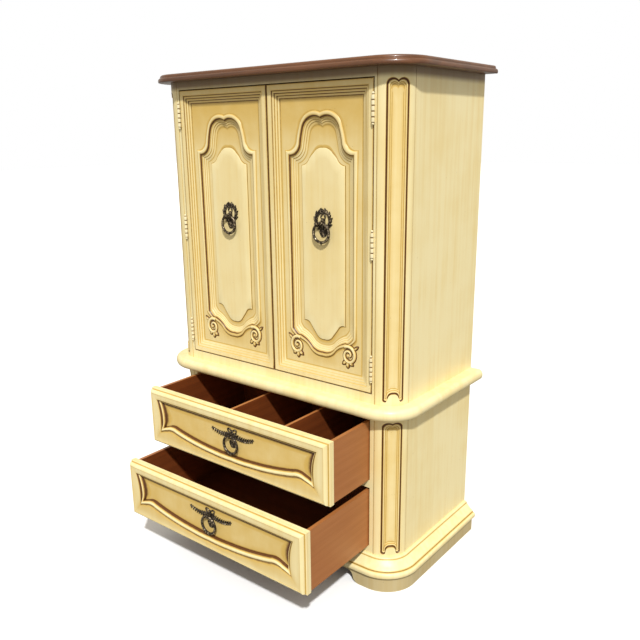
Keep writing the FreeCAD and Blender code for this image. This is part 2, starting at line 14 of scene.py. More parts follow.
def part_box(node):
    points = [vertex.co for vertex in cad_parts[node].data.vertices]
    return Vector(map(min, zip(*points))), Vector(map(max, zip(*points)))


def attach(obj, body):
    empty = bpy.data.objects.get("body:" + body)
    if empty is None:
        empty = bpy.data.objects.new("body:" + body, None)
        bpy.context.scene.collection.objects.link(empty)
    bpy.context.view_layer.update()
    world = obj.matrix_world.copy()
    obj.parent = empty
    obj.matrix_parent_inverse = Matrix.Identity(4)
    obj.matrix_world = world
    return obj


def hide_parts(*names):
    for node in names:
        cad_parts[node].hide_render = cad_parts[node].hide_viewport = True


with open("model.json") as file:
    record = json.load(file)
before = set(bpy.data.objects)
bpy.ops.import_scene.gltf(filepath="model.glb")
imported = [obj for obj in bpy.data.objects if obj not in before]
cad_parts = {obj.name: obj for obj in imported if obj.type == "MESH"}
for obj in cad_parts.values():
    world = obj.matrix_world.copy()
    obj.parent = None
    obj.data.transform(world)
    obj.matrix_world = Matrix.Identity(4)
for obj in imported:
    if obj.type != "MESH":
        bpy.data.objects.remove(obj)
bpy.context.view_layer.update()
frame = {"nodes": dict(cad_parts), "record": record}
nodes = frame["nodes"]

MM = 0.001


def corners(name):
    """Lowest and highest corner of a CAD node, in millimetres."""
    low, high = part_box(name)
    return np.array(low) / MM, np.array(high) / MM


# ---- meshes ----

def add_piece(name, body, shape, slot, stands_for=(), sharp=32):
    """A smooth closed piece from (vertices in millimetres, faces, tone), in its slot's finish."""
    verts, faces, tone = shape
    mesh = bpy.data.meshes.new(name)
    mesh.from_pydata(np.asarray(verts, float) * MM, [], faces)
    layer = mesh.attributes.new("tone", "FLOAT", "POINT")
    layer.data.foreach_set("value", np.asarray(tone, np.float32))
    work = bmesh.new()
    work.from_mesh(mesh)
    bmesh.ops.remove_doubles(work, verts=work.verts, dist=2e-6)
    bmesh.ops.recalc_face_normals(work, faces=work.faces)
    work.to_mesh(mesh)
    work.free()
    mesh.shade_smooth()
    mesh.set_sharp_from_angle(angle=radians(sharp))
    mesh.materials.append(FINISHES[slot])
    piece = bpy.data.objects.new(name, mesh)
    bpy.context.scene.collection.objects.link(piece)
    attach(piece, body)
    if stands_for:
        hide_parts(*stands_for)


def grid_faces(rows, columns, wrap_rows=False, wrap_columns=False):
    """Quads between the neighbouring points of a grid, joined round where it wraps."""
    i = np.arange(rows if wrap_rows else rows - 1)
    j = np.arange(columns if wrap_columns else columns - 1)
    a, b = np.meshgrid(i, j, indexing="ij")
    a, b = a.ravel(), b.ravel()
    c, d = (a + 1) % rows, (b + 1) % columns
    quads = np.stack([a * columns + b, a * columns + d, c * columns + d, c * columns + b], 1)
    return quads.tolist()


def loft(rings):
    """Closed rings of equal length joined one to the next, with a flat face over each end."""
    count, size = len(rings), len(rings[0])
    faces = grid_faces(count, size, wrap_columns=True)
    faces.append(list(range(size)))
    faces.append(list(range((count - 1) * size, count * size)))
    return np.concatenate(rings), faces


def arc_run(start, middle, end, count):
    """Points on the circle through three points, or on a line if they are in line."""
    start, middle, end = (np.array(p, float) for p in (start, middle, end))
    share = np.linspace(0, 1, count, endpoint=False)
    m, e = middle - start, end - start
    cross = m[0] * e[1] - m[1] * e[0]
    if abs(cross) < 1e-6:
        return start + share[:, None] * e
    mm, ee = m @ m, e @ e
    offset = np.array([e[1] * mm - m[1] * ee, m[0] * ee - e[0] * mm]) / (2 * cross)
    centre = start + offset
    radius = np.hypot(*offset)
    first = np.arctan2(*(start - centre)[::-1])
    last = np.arctan2(*(end - centre)[::-1])
    sweep = (last - first) % (2 * pi) if cross > 0 else -((first - last) % (2 * pi))
    angle = first + share * sweep
    return centre + radius * np.stack([np.cos(angle), np.sin(angle)], 1)


def outline(start, *arcs):
    """A closed outline, the same on both sides of x = 0.

    It starts at the top middle and runs down the right side to the bottom middle.  Each arc is
    (x, z at its middle, x, z at its end, points along it).
    """
    runs, here = [], start
    for mx, mz, x, z, count in arcs:
        runs.append(arc_run(here, (mx, mz), (x, z), count))
        here = (x, z)
    right = np.concatenate(runs + [np.array([here], float)])
    left = right[-2:0:-1] * (-1, 1)
    return np.concatenate([right, left])


def box_outline(like, half, low, high):
    """A rectangle with a point for each point of another outline.

    The outline's points nearest to the corners of its own box go to the rectangle's corners, and
    the points between two corners keep their share of the way along.
    """
    own_half = like[:, 0].max()
    own = [(own_half, like[:, 1].max()), (own_half, like[:, 1].min())]
    own += [(-x, z) for x, z in own[::-1]]
    marks = [np.argmin(np.hypot(*(like - corner).T)) for corner in own]
    step = np.hypot(*(np.roll(like, -1, 0) - like).T)
    along = np.concatenate([[0], np.cumsum(step)])
    stops, total = along[marks], along[-1]
    x = np.interp(along[:-1], stops, (half, half, -half, -half), period=total)
    z = np.interp(along[:-1], stops, (high, low, low, high), period=total)
    return np.stack([x, z], 1)


def between(first, second, share):
    """The outline a share of the way from one to the other."""
    return first + (second - first) * share


def levels_between(first, second, stops):
    """Relief levels on the way from one outline to another, from (share, depth, tone) stops."""
    return [(between(first, second, share), depth, tone) for share, depth, tone in stops]


def relief(levels, place, steps=1):
    """A panel from nested outlines, each (outline, depth, tone), carried to its place.

    Depth and tone are single values or one for each point, and run straight from one outline to
    the next, in a number of steps.
    """
    rings, tones = [], []
    for number, (loop, depth, tone) in enumerate(levels):
        depth, tone = (np.broadcast_to(v, len(loop)).astype(float) for v in (depth, tone))
        if number and steps > 1:
            for part in np.arange(1, steps) / steps:
                middle = between(before[0], loop, part)
                rings.append(place(middle, between(before[1], depth, part)))
                tones.append(between(before[2], tone, part))
        rings.append(place(loop, depth))
        tones.append(tone)
        before = (loop, depth, tone)
    verts, faces = loft(rings)
    return verts, faces, np.concatenate(tones)


def merge(*pieces):
    """Several (verts, faces, tone) meshes as one."""
    verts, faces, tones, start = [], [], [], 0
    for points, polygons, tone in pieces:
        verts.append(points)
        faces += [[v + start for v in face] for face in polygons]
        tones.append(tone)
        start += len(points)
    return np.concatenate(verts), faces, np.concatenate(tones)


def tube(path, radius, sides=10, closed=False, flat=1.0, normal=(0, -1, 0)):
    """A round section carried along a path; flat squeezes it along the given normal.

    Its tone is 1 on the side that faces along the normal and 0 on the far side.
    """
    path = np.asarray(path, float)
    ahead = np.roll(path, -1, 0) - np.roll(path, 1, 0)
    if not closed:
        ahead[0], ahead[-1] = path[1] - path[0], path[-1] - path[-2]
    ahead /= np.linalg.norm(ahead, axis=1)[:, None]
    up = np.broadcast_to(np.array(normal, float), path.shape)
    side = np.cross(ahead, up)
    side /= np.linalg.norm(side, axis=1)[:, None]
    up = np.cross(side, ahead)
    angle = np.arange(sides) * 2 * pi / sides
    radius = np.broadcast_to(radius, len(path))[:, None, None]
    ring = side[:, None] * np.cos(angle)[:, None] + up[:, None] * np.sin(angle)[:, None] * flat
    points = path[:, None] + ring * radius
    verts = points.reshape(-1, 3)
    faces = grid_faces(len(path), sides, wrap_rows=closed, wrap_columns=True)
    if not closed:
        faces.append(list(range(sides)))
        faces.append(list(range((len(path) - 1) * sides, len(path) * sides)))
    crest = np.broadcast_to(0.5 + 0.5 * np.sin(angle), (len(path), sides)).ravel()
    return verts, faces, crest


def dome(centre, across, tall, rise, turn=0.0, rib=0.0, sides=12, rings=4):
    """A low leaf or bead on a face that looks towards -Y.

    Its outline is an ellipse drawn to a point by rib, turned in the plane of the face; its
    height falls from rise at the middle to nothing at the rim as the root of 1 - r squared.
    """
    radius = np.linspace(0.02, 1, rings)[:, None]
    angle = np.arange(sides) * 2 * pi / sides
    x = radius * np.cos(angle) * across / 2 * (1 - rib * np.abs(np.sin(angle)) ** 3)
    z = radius * np.sin(angle) * tall / 2
    y = -rise * np.sqrt(np.clip(1 - radius ** 2, 0, 1)) * np.ones_like(x)
    y = y * (1 - 0.35 * (rib > 0) * np.exp(-(x / (across * 0.08 + 0.01)) ** 2))
    cos, sin = np.cos(turn), np.sin(turn)
    top = np.stack([x * cos - z * sin, y, x * sin + z * cos], 2).reshape(-1, 3)
    base = top[-sides:] + (0, 0.6, 0)
    verts = np.concatenate([top, base]) + np.array(centre, float)
    faces = grid_faces(rings + 1, sides, wrap_columns=True)
    faces.append(list(range(sides)))
    faces.append(list(range(rings * sides, (rings + 1) * sides)))
    tone = np.concatenate([np.repeat(1 - radius.ravel() ** 2, sides), np.zeros(sides)])
    return verts, faces, tone


# ---- materials ----

def new_tree(name, group=False):
    """An empty material or node group and its node tree."""
    if group:
        tree = bpy.data.node_groups.new(name, "ShaderNodeTree")
        return tree, tree
    material = bpy.data.materials.new(name)
    material.use_nodes = True
    material.node_tree.nodes.clear()
    return material, material.node_tree


def add(tree, kind, settings=None, **inputs):
    """A node with its settings; inputs are values, or the outputs that feed them."""
    made = tree.nodes.new("ShaderNode" + kind)
    for key, value in (settings or {}).items():
        setattr(made, key, value)
    for key, value in inputs.items():
        socket = made.inputs[int(key[1:])] if key[0] == "_" else made.inputs[key.replace("_", " ")]
        if isinstance(value, bpy.types.NodeSocket):
            tree.links.new(value, socket)
        else:
            socket.default_value = value
    return made


def sockets(tree, way, **kinds):
    """The named inputs or outputs of a node group."""
    for name, kind in kinds.items():
        tree.interface.new_socket(name, in_out=way, socket_type="NodeSocket" + kind)


def math(tree, operation, first, second=0.0, clamp=False):
    """One arithmetic step on two values, kept within 0 to 1 where clamp says so."""
    made = add(tree, "Math", {"operation": operation, "use_clamp": clamp}, _0=first, _1=second)
    return made.outputs[0]


def weighed(tree, *terms):
    """The sum of two values, each times its weight."""
    return math(tree, "ADD", *(math(tree, "MULTIPLY", value, weight) for value, weight in terms))


def blend(tree, share, first, second):
    """Two colours mixed by a share."""
    return add(tree, "Mix", {"data_type": "RGBA"}, _0=share, _6=first, _7=second).outputs[2]


def noise(tree, vector, scale, detail=4.0):
    """A soft random value over the surface."""
    made = add(tree, "TexNoise", Vector=vector, Scale=scale, Detail=detail, Roughness=0.55)
    return made.outputs[0]


def stretch(tree, vector, scale):
    """The same coordinates, drawn out along an axis."""
    return add(tree, "Mapping", Vector=vector, Scale=scale).outputs[0]


def ramp(tree, value, low, high):
    """A value taken from low..high to 0..1, smoothly."""
    settings = {"interpolation_type": "SMOOTHSTEP"}
    return add(tree, "MapRange", settings, _0=value, _1=low, _2=high).outputs[0]


def paint_group():
    """Antiqued brush paint: faint streaks, mottling, flyspecks and a glaze that follows tone.

    The tone attribute runs from 0, clean paint, through a golden wash to 1, brown glaze; in places
    it also carries painted shade.  Painted shade browns the plinth, and the frieze under the top.
    """
    _, tree = new_tree("aged_paint", group=True)
    sockets(tree, "INPUT", Vector="Vector", Light="Color", Dark="Color", Wash="Color", Glaze="Color")
    sockets(tree, "OUTPUT", Color="Color", Roughness="Float", Height="Float")
    given = tree.nodes.new("NodeGroupInput").outputs
    place = given["Vector"]
    streak = noise(tree, stretch(tree, place, (38, 38, 1.5)), 1.6, 5.0)
    fine = noise(tree, stretch(tree, place, (420, 420, 9)), 1.0, 3.0)
    cloud = noise(tree, place, 5.5, 3.0)
    aged = weighed(tree, (streak, 0.5), (cloud, 0.5))
    mottled = math(tree, "MULTIPLY", ramp(tree, aged, 0.38, 0.70), 0.6)
    color = blend(tree, mottled, given["Light"], given["Dark"])
    brushed = math(tree, "MULTIPLY", ramp(tree, fine, 0.50, 0.75), 0.16)
    color = blend(tree, brushed, color, given["Dark"])
    tone = add(tree, "Attribute", {"attribute_name": "tone"}).outputs["Fac"]
    patchy = math(tree, "ADD", math(tree, "MULTIPLY", noise(tree, place, 14.0), 0.7), 0.65)
    # wash and glaze follow tone: real glaze, and painted shade where tone was raised for shade
    washed = ramp(tree, math(tree, "MULTIPLY", tone, patchy), 0.0, 0.34)
    color = blend(tree, washed, color, given["Wash"])
    ragged = math(tree, "ADD", math(tree, "MULTIPLY", noise(tree, place, 90.0), 0.5), 0.72)
    glazed = ramp(tree, math(tree, "MULTIPLY", tone, ragged), 0.30, 0.92)
    color = blend(tree, glazed, color, given["Glaze"])
    # painted shade: darker over the plinth, under the base moulding, and towards the top, under the
    # top board
    height = add(tree, "SeparateXYZ", Vector=place).outputs[2]
    plinth_shade = ramp(tree, height, PLINTH_SHADE[1], PLINTH_SHADE[0])
    frieze_shade = ramp(tree, height, FRIEZE_SHADE[0], FRIEZE_SHADE[1])
    painted_shade = weighed(tree, (plinth_shade, 0.42), (frieze_shade, 0.82))
    color = blend(tree, painted_shade, color, given["Glaze"])
    specks = add(tree, "TexVoronoi", Vector=place, Scale=62.0).outputs["Distance"]
    sparse = ramp(tree, noise(tree, place, 24.0, 2.0), 0.56, 0.66)
    dot = math(tree, "MULTIPLY", math(tree, "LESS_THAN", specks, 0.055), sparse)
    color = blend(tree, math(tree, "MULTIPLY", dot, 0.7), color, given["Glaze"])
    out = tree.nodes.new("NodeGroupOutput").inputs
    tree.links.new(color, out["Color"])
    tree.links.new(math(tree, "ADD", math(tree, "MULTIPLY", streak, 0.2), 0.3), out["Roughness"])
    height = math(tree, "ADD", fine, math(tree, "MULTIPLY", streak, 0.8))
    tree.links.new(height, out["Height"])
    return tree


def grain_group():
    """Wood grain: long fibres, darker pores and broad bands bent by a slow noise."""
    _, tree = new_tree("wood_grain", group=True)
    sockets(tree, "INPUT", Vector="Vector", Light="Color", Dark="Color", Pores="Float")
    sockets(tree, "OUTPUT", Color="Color", Roughness="Float", Height="Float")
    given = tree.nodes.new("NodeGroupInput").outputs
    along = stretch(tree, given["Vector"], (1.4, 30, 30))
    bend = noise(tree, stretch(tree, given["Vector"], (1.2, 5, 5)), 1.5, 2.0)
    bands = add(tree, "TexWave", {"bands_direction": "Z"}, Vector=along, Scale=0.35,
                Distortion=9.0, Detail=3.0, Detail_Scale=1.2).outputs["Fac"]
    fibre = noise(tree, stretch(tree, given["Vector"], (9, 520, 520)), 1.0, 3.0)
    pitted = noise(tree, stretch(tree, given["Vector"], (22, 900, 900)), 1.0, 1.0)
    pores = ramp(tree, pitted, 0.60, 0.72)
    share = weighed(tree, (bands, 0.12), (fibre, 0.45))
    share = math(tree, "ADD", share, math(tree, "MULTIPLY", bend, 0.5))
    color = blend(tree, ramp(tree, share, 0.20, 0.95), given["Light"], given["Dark"])
    color = blend(tree, math(tree, "MULTIPLY", pores, given["Pores"]), color, given["Dark"])
    out = tree.nodes.new("NodeGroupOutput").inputs
    tree.links.new(color, out["Color"])
    tree.links.new(math(tree, "ADD", math(tree, "MULTIPLY", fibre, 0.2), 0.28), out["Roughness"])
    tree.links.new(math(tree, "SUBTRACT", fibre, pores), out["Height"])
    return tree


def finish_shader(tree, color, roughness, height, strength, distance=0.0004, **fixed):
    """A Principled surface with a bump, and its output."""
    bump = add(tree, "Bump", Strength=strength, Distance=distance, Height=height).outputs[0]
    surface = add(
        tree, "BsdfPrincipled", Base_Color=color, Roughness=roughness, Normal=bump, **fixed
    )
    output = tree.nodes.new("ShaderNodeOutputMaterial")
    tree.links.new(surface.outputs[0], output.inputs[0])


def place_of(tree):
    """The object's own coordinates."""
    return tree.nodes.new("ShaderNodeTexCoord").outputs["Object"]


def grouped(tree, group, **inputs):
    """A node group placed in a material."""
    made = tree.nodes.new("ShaderNodeGroup")
    made.node_tree = group
    for key, value in inputs.items():
        if isinstance(value, bpy.types.NodeSocket):
            tree.links.new(value, made.inputs[key])
        else:
            made.inputs[key].default_value = value
    return made.outputs


def painted(name, light, dark, strength):
    """Brush paint with glaze in its hollows, and painted shade from its tone and its height."""
    material, tree = new_tree(name)
    colors = {"Light": light, "Dark": dark, "Wash": GOLDEN_WASH_AND_SHADE, "Glaze": GLAZE_AND_SHADE_BROWN}
    made = grouped(tree, PAINT, Vector=place_of(tree), **colors)
    finish_shader(tree, made["Color"], made["Roughness"], made["Height"], strength)
    return material


def wooden(name, light, dark, pores, turn=(0, 0, 0), **fixed):
    """Stained wood with its grain along X, turned to run another way."""
    material, tree = new_tree(name)
    place = add(tree, "Mapping", Vector=place_of(tree), Rotation=turn).outputs[0]
    made = grouped(tree, GRAIN, Vector=place, Light=light, Dark=dark, Pores=pores)
    finish_shader(tree, made["Color"], made["Roughness"], made["Height"], 0.2, **fixed)
    return material


def drawer_wood(name, outer, turn):
    """Drawer wood: sanded pale on its outer faces and top edges, and dark inside, partly stained and
    partly painted shade.

    A face is an outer one where its normal times its own x is more than outer, in metres.
    """
    material, tree = new_tree(name)
    place = place_of(tree)
    normal = add(tree, "TexCoord").outputs["Normal"]
    facing = add(tree, "SeparateXYZ", Vector=normal).outputs
    across = math(tree, "MULTIPLY", facing[0], add(tree, "SeparateXYZ", Vector=place).outputs[0])
    outside = math(tree, "GREATER_THAN", across, outer)
    pale = math(tree, "ADD", outside, math(tree, "GREATER_THAN", facing[2], 0.5), True)
    turned = add(tree, "Mapping", Vector=place, Rotation=turn).outputs[0]
    raw = grouped(tree, GRAIN, Vector=turned, Light=RED_LIGHT, Dark=RED_DARK, Pores=0.25)
    # the inner faces are darker: a stain, and painted shade for the shade inside the drawer
    dark = grouped(tree, GRAIN, Vector=turned, Light=STAIN_AND_SHADE_LIGHT, Dark=STAIN_AND_SHADE_DARK, Pores=0.3)
    color = blend(tree, pale, dark["Color"], raw["Color"])
    finish_shader(tree, color, raw["Roughness"], raw["Height"], 0.12)
    return material


def bronze():
    """Dark cast bronze, pitted, with its crests rubbed bright."""
    material, tree = new_tree("antique_bronze")
    place = place_of(tree)
    tone = add(tree, "Attribute", {"attribute_name": "tone"}).outputs["Fac"]
    worn = math(tree, "MULTIPLY", tone, ramp(tree, noise(tree, place, 160.0), 0.35, 0.75))
    cast, crest, pit = (0.035, 0.024, 0.014, 1), (0.52, 0.41, 0.26, 1), (0.012, 0.010, 0.008, 1)
    color = blend(tree, ramp(tree, worn, 0.20, 0.88), cast, crest)
    color = blend(tree, ramp(tree, noise(tree, place, 420.0), 0.55, 0.8), color, pit)
    rough = math(tree, "SUBTRACT", 0.52, math(tree, "MULTIPLY", worn, 0.22))
    finish_shader(tree, color, rough, noise(tree, place, 700.0), 0.35, 0.0003, Metallic=0.6)
    return material


def plastic():
    """Brown moulded plastic with a fine texture."""
    material, tree = new_tree("catch_plastic")
    place = place_of(tree)
    fine = noise(tree, place, 900.0, 2.0)
    color = blend(tree, fine, (0.07, 0.04, 0.025, 1), (0.11, 0.065, 0.04, 1))
    finish_shader(tree, color, ramp(tree, fine, -0.6, 2.0), fine, 0.1)
    return material


plinth_high = corners("plinth_front")[1][2] * MM
frieze_low = corners("frieze_rail")[0][2] * MM
# the heights between which the painted shade comes in, in metres: over the plinth and under the top
PLINTH_SHADE = (plinth_high - 0.006, plinth_high + 0.004)
FRIEZE_SHADE = (frieze_low - 0.008, frieze_low + 0.012)
PAINT = paint_group()
GRAIN = grain_group()
# the golden wash and the brown glaze are real glaze, and also painted shade where tone or height was
# raised for shade
GOLDEN_WASH_AND_SHADE = (0.64, 0.425, 0.105, 1)
GLAZE_AND_SHADE_BROWN = (0.105, 0.036, 0.009, 1)
RED_LIGHT = (0.42, 0.160, 0.048, 1)
RED_DARK = (0.32, 0.108, 0.026, 1)
# dark inner drawer wood: partly a stain, partly painted shade inside the drawers
STAIN_AND_SHADE_LIGHT = (0.21, 0.055, 0.013, 1)
STAIN_AND_SHADE_DARK = (0.10, 0.022, 0.005, 1)
FINISHES = {
    "cream_paint": painted("cream_paint", (0.87, 0.75, 0.42, 1), (0.77, 0.58, 0.22, 1), 0.16),
    "hinge_metal": painted("hinge_paint", (0.86, 0.78, 0.52, 1), (0.70, 0.55, 0.27, 1), 0.08),
    "walnut_top": wooden(
        "walnut_top", (0.20, 0.072, 0.022, 1), (0.030, 0.010, 0.004, 1), 0.6,
        Coat_Weight=0.35, Coat_Roughness=0.12,
    ),
    "drawer_wood": wooden("drawer_wood_across", STAIN_AND_SHADE_LIGHT, STAIN_AND_SHADE_DARK, 0.3),
    "inner_wood": wooden("inner_wood", (0.50, 0.33, 0.17, 1), (0.30, 0.17, 0.08, 1), 0.3),
    "antique_bronze": bronze(),
    "catch_plastic": plastic(),
}
box_face = corners("lower_drawer_sides")[1][0] * MM - 0.002
drawer_along = drawer_wood("drawer_wood_side", box_face, (0, 0, pi / 2))
inner_upright = wooden(
    "inner_wood_upright", (0.46, 0.31, 0.17, 1), (0.29, 0.17, 0.08, 1), 0.3, (0, pi / 2, 0)
)


def finish_frame():
    """Every CAD node that stays shown gets its finish."""
    for record in frame["record"]["subparts"]:
        node = record["node"]
        material = FINISHES[record["material_slot"]]
        if node.endswith(("drawer_sides", "drawer_dividers")):
            material = drawer_along
        if node in ("upper_back_panel", "lower_back_panel"):
            material = inner_upright
        for place in nodes[node].material_slots:
            place.material = material


# ---- case ----

POST_WIDTH = 78.0
CASE_HALF = corners("upper_side_right")[1][0]
CORNER_X = corners("upper_corner_posts")[1][0] - POST_WIDTH
CORNER_Y = corners("upper_side_left")[0][1]
CORNER_RADIUS = CASE_HALF - CORNER_X
FRONT_Y = CORNER_Y - CORNER_RADIUS
POST_THICKNESS = 20.0
CORNER_STEPS = 18


def case_path(offset):
    """The way round the case at an offset: back left, round both front corners, back right."""
    turn = np.linspace(0, pi / 2, CORNER_STEPS + 1)
    radius = CORNER_RADIUS + offset
    right = np.stack([CORNER_X + radius * np.sin(turn), CORNER_Y - radius * np.cos(turn)], 1)
    left = right[::-1] * (-1, 1)
    side = CASE_HALF + offset
    return np.concatenate([[(-side, 0)], left, right, [(side, 0)]])


def stacked_board(name, node, profile, slot):
    """A board from (offset, height) steps, each a closed outline round the case."""
    rings = []
    for offset, height in profile:
        path = case_path(offset)
        rings.append(np.column_stack([path, np.full(len(path), height)]))
    verts, faces = loft(rings)
    add_piece(name, "root", (verts, faces, np.zeros(len(verts))), slot, (node,))


def wrapped_moulding(name, node, section, slot):
    """A closed section of (offset, height, tone) carried round the sides and the front."""
    stations = np.stack([case_path(offset) for offset, _, _ in section], 1)
    heights = np.broadcast_to([step[1] for step in section], stations.shape[:2])
    verts, faces = loft(list(np.dstack([stations, heights])))
    tone = np.tile([step[2] for step in section], len(stations))
    add_piece(name, "root", (verts, faces, tone), slot, (node,))


def build_top():
    """The dark top: flat underside, a rounded nose, a step and a thin bead above it."""
    low, high = corners("top_board")
    base, overhang = low[2], high[0] - CASE_HALF
    nose = [
        (-3, 0), (-1.2, 0.6), (-0.3, 2.2), (0, 4.8), (-0.2, 8), (-1.4, 11), (-3.4, 13.2),
        (-6.2, 14.4), (-7.4, 14.8), (-7.8, 16.4), (-7.6, 18.2), (-8.4, 20.6), (-10.2, 22.8),
        (-13.5, 24.4), (-18, 25),
    ]
    profile = [(overhang + out, base + up) for out, up in nose]
    stacked_board("top_board_moulded", "top_board", profile, "walnut_top")


def build_waist():
    """The waist board, with a full round nose and a small flat above and below."""
    low, high = corners("waist_board")
    overhang, tall = high[0] - CASE_HALF, high[2] - low[2]
    angle = np.linspace(-pi / 2, pi / 2, 17)
    nose, flat = 15.0, 9.0
    out = overhang - nose + nose * np.cos(angle)
    up = low[2] + tall / 2 * (1 + np.sin(angle))
    inner = overhang - nose - flat
    profile = [(inner, low[2]), *zip(out, up), (inner, high[2])]
    stacked_board("waist_board_rounded", "waist_board", profile, "cream_paint")


def build_base_moulding():
    """Round nose, a step, a long cove and a thin bead, over the plinth."""
    low, high = corners("base_moulding")
    inner, board = 20.0, corners("base_board")[1][2] - low[2]
    steps = [
        (inner, 0, 0), (35, 0, 0.3), (40, 0.8, 0), (44.4, 3.6, 0), (46, 8, 0), (46, 14, 0),
        (44.6, 18.4, 0), (41.4, 21.2, 0), (38, 22.2, 0.45), (36.6, 23.4, 0.8), (36, 25.6, 0.3),
        (34, 28, 0), (27.5, 33, 0), (20.6, 39.5, 0), (14.8, 46, 0), (11.6, 50.4, 0.1),
        (10, 51.6, 0.7), (9.4, 53, 0.25), (8.8, 56, 0), (6.6, 58, 0), (0, 58, 0), (0, board, 0),
        (inner, board, 0),
    ]
    section = [(out, low[2] + up, tone) for out, up, tone in steps]
    wrapped_moulding("base_moulding_shaped", "base_moulding", section, "cream_paint")


# ---- corner posts ----

GROOVE_HALF = 33.0


def post_outline(top, low, inset, lobed):
    """The outline on a post: two lobes or a nearly flat head, and an arched notch at the foot."""
    half = GROOVE_HALF - inset
    foot = low + inset
    arch = 15.5 + inset * 0.55
    mid = (half + arch) / 2
    lobe = (half - arch) / 2
    crown = top - inset
    if lobed:
        head = ((0, crown - 7), (half * 0.52, crown, half, crown - 17, 12))
    else:
        head = ((0, crown - 2), (half * 0.62, crown, half, crown - 11, 12))
    return outline(
        head[0], head[1],
        (half, (crown + foot) / 2, half, foot + lobe + 3, 10),
        (mid, foot, arch, foot + lobe + 2, 10),
        (arch * 0.72, low + 24 + inset * 0.9, 0, low + 27 + inset, 10),
    )


def build_post(storey, side, top_margin, foot_margin, lobed, bottom):
    """One quarter-round post with a routed outline, a stepped band and a sunk field."""
    low, high = corners(storey + "_corner_posts")
    length = CORNER_RADIUS * pi / 2

    def place(loop, depth):
        angle = loop[:, 0] / CORNER_RADIUS + pi / 4
        radius = CORNER_RADIUS - depth
        x = CORNER_X + radius * np.sin(angle)
        return np.stack([side * x, CORNER_Y - radius * np.cos(angle), loop[:, 1]], 1)

    top, foot = high[2] - top_margin, bottom + foot_margin
    rims = [post_outline(top, foot, inset, lobed) for inset in (0, 4.0, 5.2, 8.6, 9.8, 13.6, 15.2)]
    edge = box_outline(rims[0], length / 2, low[2], high[2])
    slit = box_outline(rims[0], 5, foot + 60, top - 60)
    seam = box_outline(rims[0], length / 2 - 3, low[2], high[2])
    levels = [
        (edge, POST_THICKNESS, 0), (edge, 1.0, 0.85), (seam, 0, 0.1),
        (between(edge, rims[0], 0.5), 0, 0), (between(edge, rims[0], 0.94), 0, 0.05),
        (rims[0], 0.3, 0.9), (between(rims[0], rims[1], 0.4), 2.6, 1), (rims[1], 1.8, 1),
        (rims[2], 0.2, 0.3), (rims[3], 0.6, 0.03), (rims[4], 2.4, 0.6), (rims[5], 3.6, 0.1),
        (rims[6], 4.6, 0.6), (between(rims[6], slit, 0.2), 4.7, 0.18), (slit, 4.7, 0.13),
    ]
    return relief(levels, place, steps=3)


def build_posts():
    """The upper and lower posts of both corners."""
    moulding_top = corners("base_moulding")[1][2]
    upper_low = corners("upper_corner_posts")[0][2]
    for storey, margins, lobed, bottom in (
        ("upper", (32, 12), True, upper_low),
        ("lower", (20, 10), False, moulding_top),
    ):
        for side, hand in ((-1, "left"), (1, "right")):
            shape = build_post(storey, side, *margins, lobed, bottom)
            stands_for = (storey + "_corner_posts",) if side > 0 else ()
            add_piece(storey + "_post_carved_" + hand, "root", shape, "cream_paint", stands_for)


# ---- doors ----

DOOR_THICKNESS = 32.0
FIELD_MARGIN = 25.3
FIELD_DEPTH = 13.0
PANEL_DEPTH = 23.0


def door_outlines():
    """Bead, opening, field edge and raised panel of a door, about its middle and its bottom."""
    bead = outline(
        (0, 838.5), (34, 843, 82, 797, 14), (88, 778, 92, 762, 8), (102, 738, 138, 728, 10),
        (133.5, 440, 133.5, 160, 12), (124, 147, 106, 137, 6), (96, 132, 86, 126, 5),
        (66, 118, 48, 100, 8), (26, 85, 0, 82, 8),
    )
    opening = outline(
        (0, 822), (34, 827, 71, 789, 14), (76, 768, 79, 750, 8), (91, 724, 121.5, 713, 10),
        (121.5, 436, 121.5, 159, 12), (112, 148, 99, 138, 6), (92, 140, 84, 138, 5),
        (64, 128, 46, 112, 8), (24, 98.5, 0, 97, 8),
    )
    field = outline(
        (0, 797), (24, 803, 49, 776, 14), (53, 756, 57, 735, 8), (67, 708, 97.5, 688, 10),
        (97.5, 436, 97.5, 182, 12), (91, 171, 84, 163, 6), (78, 160, 70, 156, 5),
        (52, 144, 38, 130, 8), (20, 121, 0, 119, 8),
    )
    raised = outline(
        (0, 737), (18, 735, 36, 722, 14), (46, 713, 54, 704, 8), (66, 690, 84, 684, 10),
        (84, 436, 83, 190, 12), (76, 191, 70, 190, 6), (63, 187, 57, 181, 5),
        (46, 166, 34, 151, 8), (18, 137, 0, 135, 8),
    )
    return bead, opening, field, raised


